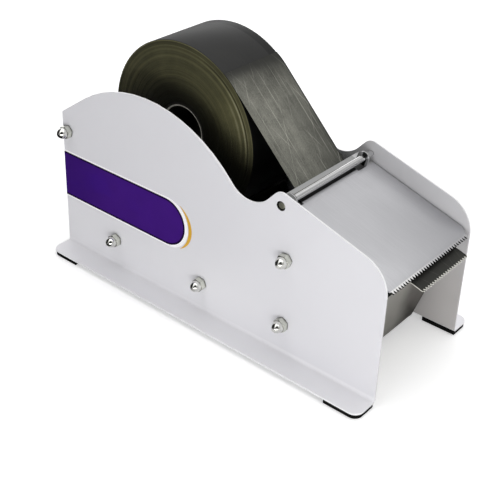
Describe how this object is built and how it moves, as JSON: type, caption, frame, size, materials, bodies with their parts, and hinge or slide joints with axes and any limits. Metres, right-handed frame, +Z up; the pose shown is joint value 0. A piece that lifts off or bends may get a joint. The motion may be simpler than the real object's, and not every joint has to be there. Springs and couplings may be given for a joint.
{
  "type": "water-activated tape dispenser",
  "caption": "Bench dispenser for gummed tape: folded side plates, a tape roll in a cradle, a water tank with a wetting roller and a hinged saw-tooth cutter plate.",
  "frame": {"origin": "on the table, under the middle of the whole outline", "axes": "+X the way the tape comes out, +Y to the left, +Z up"},
  "size_m": [0.309, 0.145, 0.1935],
  "materials": {
    "powder_coat": "satin white powder coat on steel sheet",
    "foot_rubber": "matte black",
    "tie_steel": "zinc-plated steel",
    "spacer_coat": "black coated steel tube",
    "nut_chrome": "polished nickel plate",
    "cradle_coat": "matte black powder coat on steel sheet",
    "tape": "dark gummed paper with reinforcing threads",
    "core_board": "dark cardboard tube",
    "polished_rod": "polished steel rod",
    "stainless": "satin stainless sheet",
    "tank_steel": "dull stainless sheet",
    "roller_rubber": "matte grooved rubber",
    "nylon": "natural nylon",
    "film_purple": "printed film",
    "film_gold": "printed film"
  },
  "bodies": {
    "frame": {"right_plate": "powder_coat", "left_plate": "powder_coat", "foot_front_right": "foot_rubber", "foot_front_left": "foot_rubber", "foot_rear_right": "foot_rubber", "foot_rear_left": "foot_rubber", "rear_tie_rod": "tie_steel", "cradle_rod_rear": "tie_steel", "cradle_rod_front": "tie_steel", "tank_rod_upper": "tie_steel", "tank_rod_lower": "tie_steel", "rear_spacer": "spacer_coat", "cradle_spacer_rear": "spacer_coat", "cradle_spacer_front": "spacer_coat", "tank_spacer_upper": "spacer_coat", "tank_spacer_lower": "spacer_coat", "dome_nuts_right": "nut_chrome", "dome_nuts_left": "nut_chrome", "roll_cradle": "cradle_coat", "tape_strip": "tape", "hinge_rod": "polished_rod", "water_tank": "tank_steel", "axle_bush_right": "nylon", "axle_bush_left": "nylon", "label_band": "film_purple", "label_accent": "film_gold"},
    "cutter": {"cutter_plate": "stainless"},
    "roll": {"tape_roll": "tape", "tape_core": "core_board"},
    "wet_roller": {"wet_roller_sleeve": "roller_rubber", "wet_roller_core": "nylon", "wet_roller_axle": "polished_rod"}
  },
  "joints": [
    {"name": "cutter_hinge", "type": "hinge", "parent": "frame", "child": "cutter", "pos_m": [0.06, 0, 0.1205], "axis": [0, -1, 0], "range_deg": [0, 110]},
    {"name": "roll_spin", "type": "hinge", "parent": "frame", "child": "roll", "pos_m": [-0.0575, 0, 0.1255], "axis": [0, 1, 0], "continuous": true},
    {"name": "wet_roller_spin", "type": "hinge", "parent": "frame", "child": "wet_roller", "pos_m": [0.1045, 0, 0.06982], "axis": [0, 1, 0], "continuous": true}
  ],
  "couplings": [
    {"joint": "wet_roller_spin", "follows": "roll_spin", "ratio": 2.833}
  ]
}
